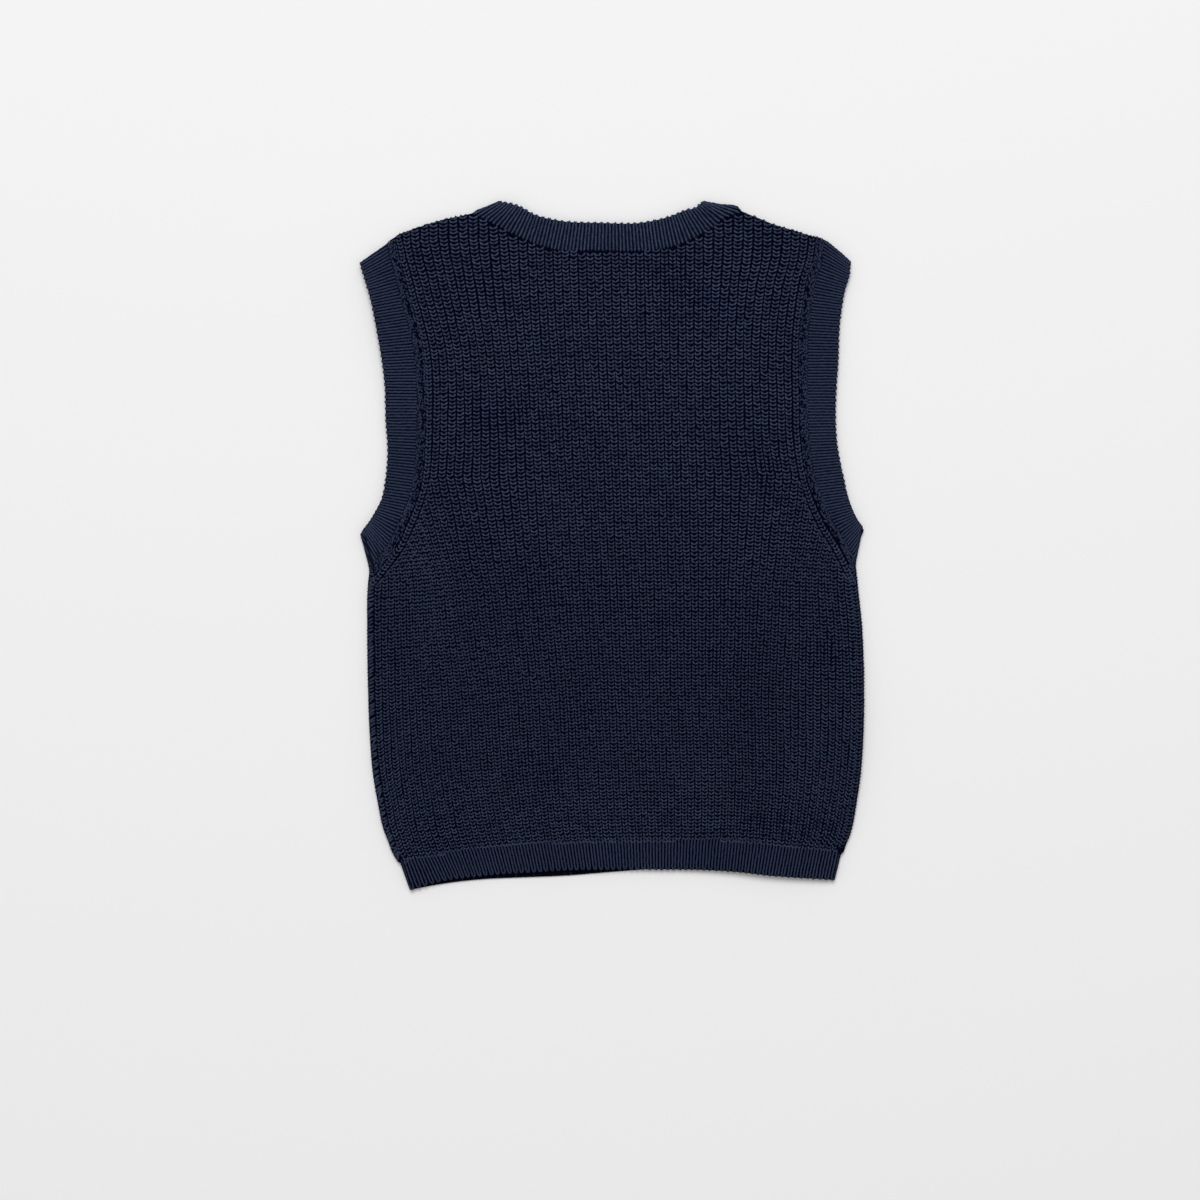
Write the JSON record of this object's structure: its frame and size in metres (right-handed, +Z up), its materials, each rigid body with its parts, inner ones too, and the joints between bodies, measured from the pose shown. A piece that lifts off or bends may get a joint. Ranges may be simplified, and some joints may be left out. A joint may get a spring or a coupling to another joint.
{
  "type": "knitted sweater vest",
  "caption": "Chunky knitted sweater vest laid flat with its back up: ribbed body, crew neckband, armhole bands and hem welt in 1x1 rib.",
  "frame": {"origin": "bottom centre of the whole garment's box, on the surface it lies on", "axes": "+X toward the wearer's right, +Y toward the neck, +Z up out of the back, which faces up"},
  "size_m": [0.4031, 0.5518, 0.0107],
  "materials": {
    "body_knit": "matt navy cotton, chunky half-cardigan knit",
    "rib_knit": "matt navy cotton, 1x1 rib"
  },
  "bodies": {
    "root": {"back_panel": "body_knit", "front_panel": "body_knit", "hem_rib_back": "rib_knit", "hem_rib_front": "rib_knit", "neckband": "rib_knit", "armhole_band_left": "rib_knit", "armhole_band_right": "rib_knit"}
  },
  "joints": []
}
